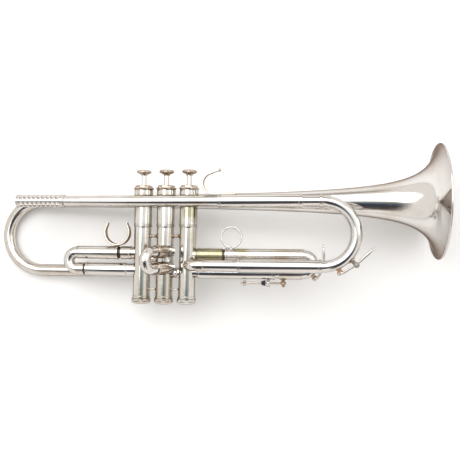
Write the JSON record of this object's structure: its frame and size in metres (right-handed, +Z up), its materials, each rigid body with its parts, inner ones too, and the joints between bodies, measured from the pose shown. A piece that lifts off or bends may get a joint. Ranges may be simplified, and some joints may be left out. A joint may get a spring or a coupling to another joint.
{
  "type": "trumpet",
  "caption": "Piston-valve trumpet lying on its side: flared bell, looped tubing, spring-returned valves, pull-out slides with a finger ring and thumb saddle, and water keys",
  "frame": {"origin": "bottom centre of the bounding box, on the surface the instrument lies on", "axes": "+X along the instrument towards the bell, +Y from the bottom caps towards the finger buttons, +Z up from the surface. The bell's rim and the end of the bell bow touch the surface, so the tubes rise 6.6 degrees towards the bell."},
  "size_m": [0.4836, 0.172, 0.1214],
  "materials": {
    "silver": "polished silver plate, lightly tarnished",
    "tarnished": "silver plate with a heavy olive tarnish",
    "steel": "bare nickel alloy and spring steel",
    "cork": "natural cork"
  },
  "bodies": {
    "body": {"bell": "silver", "bell_bow": "silver", "bell_brace_front": "silver", "bell_brace_rear": "silver", "leadpipe": "silver", "mouthpiece_receiver": "silver", "tuning_upper_sleeve": "silver", "tuning_lower_tube": "silver", "finger_hook": "silver", "valve_1_casing": "silver", "valve_1_top_cap": "silver", "valve_1_bottom_cap": "silver", "valve_1_spring": "steel", "valve_2_casing": "silver", "valve_2_top_cap": "silver", "valve_2_bottom_cap": "silver", "valve_2_spring": "steel", "valve_3_casing": "silver", "valve_3_top_cap": "silver", "valve_3_bottom_cap": "silver", "valve_3_spring": "steel", "casing_link_12": "silver", "casing_link_23": "silver", "casing_stay_12": "silver", "casing_stay_23": "silver", "first_upper_tube": "silver", "first_lower_sleeve": "silver", "second_upper_sleeve": "silver", "second_lower_sleeve": "silver", "third_upper_tube": "tarnished", "third_lower_sleeve": "silver", "stop_rod_guide": "silver"},
    "valve_1": {"valve_1_piston": "steel", "valve_1_stem": "silver", "valve_1_button": "silver"},
    "valve_2": {"valve_2_piston": "steel", "valve_2_stem": "silver", "valve_2_button": "silver"},
    "valve_3": {"valve_3_piston": "steel", "valve_3_stem": "silver", "valve_3_button": "silver"},
    "tuning_slide": {"tuning_crook": "silver", "tuning_lower_sleeve": "silver", "tuning_key_saddle": "silver", "tuning_key_pin": "steel"},
    "tuning_water_key": {"tuning_key_lever": "silver", "tuning_key_cork": "cork"},
    "first_slide": {"first_crook": "silver", "first_upper_sleeve": "silver", "first_thumb_saddle": "silver"},
    "second_slide": {"second_crook": "silver"},
    "third_slide": {"third_crook": "silver", "third_upper_sleeve": "silver", "third_finger_ring": "silver", "third_stop_rod": "silver", "third_key_saddle": "silver", "third_key_pin": "steel"},
    "third_water_key": {"third_key_lever": "silver", "third_key_cork": "cork"}
  },
  "joints": [
    {"name": "valve_1_press", "type": "slide", "parent": "body", "child": "valve_1", "axis": [-0.0208, -0.9998, -0.0024], "range_m": [0, 0.0117], "stiffness_N_per_m": 150, "springref_m": -0.0167, "deforming": ["valve_1_spring"]},
    {"name": "valve_2_press", "type": "slide", "parent": "body", "child": "valve_2", "axis": [-0.0208, -0.9998, -0.0024], "range_m": [0, 0.0117], "stiffness_N_per_m": 150, "springref_m": -0.0167, "deforming": ["valve_2_spring"]},
    {"name": "valve_3_press", "type": "slide", "parent": "body", "child": "valve_3", "axis": [-0.0208, -0.9998, -0.0024], "range_m": [0, 0.0117], "stiffness_N_per_m": 150, "springref_m": -0.0167, "deforming": ["valve_3_spring"]},
    {"name": "tuning_slide_pull", "type": "slide", "parent": "body", "child": "tuning_slide", "axis": [0.9934, 0, 0.1151], "range_m": [-0.017, 0.045]},
    {"name": "tuning_water_key_lift", "type": "hinge", "parent": "tuning_slide", "child": "tuning_water_key", "pos_m": [0.14301, -0.04064, 0.08571], "axis": [-0.1151, 0, 0.9934], "range_deg": [0, 18], "stiffness_Nm_per_rad": 0.02, "springref_deg": -34.38},
    {"name": "first_slide_pull", "type": "slide", "parent": "body", "child": "first_slide", "axis": [-0.9934, 0, -0.1151], "range_m": [-0.002, 0.02]},
    {"name": "second_slide_pull", "type": "slide", "parent": "body", "child": "second_slide", "axis": [-0.624, 0, 0.7814], "range_m": [0, 0.008]},
    {"name": "third_slide_pull", "type": "slide", "parent": "body", "child": "third_slide", "axis": [0.9934, 0, 0.1151], "range_m": [-0.002, 0.0155]},
    {"name": "third_water_key_lift", "type": "hinge", "parent": "third_slide", "child": "third_water_key", "pos_m": [0.11364, -0.04578, 0.06519], "axis": [-0.1151, 0, 0.9934], "range_deg": [0, 18], "stiffness_Nm_per_rad": 0.02, "springref_deg": -34.38}
  ]
}
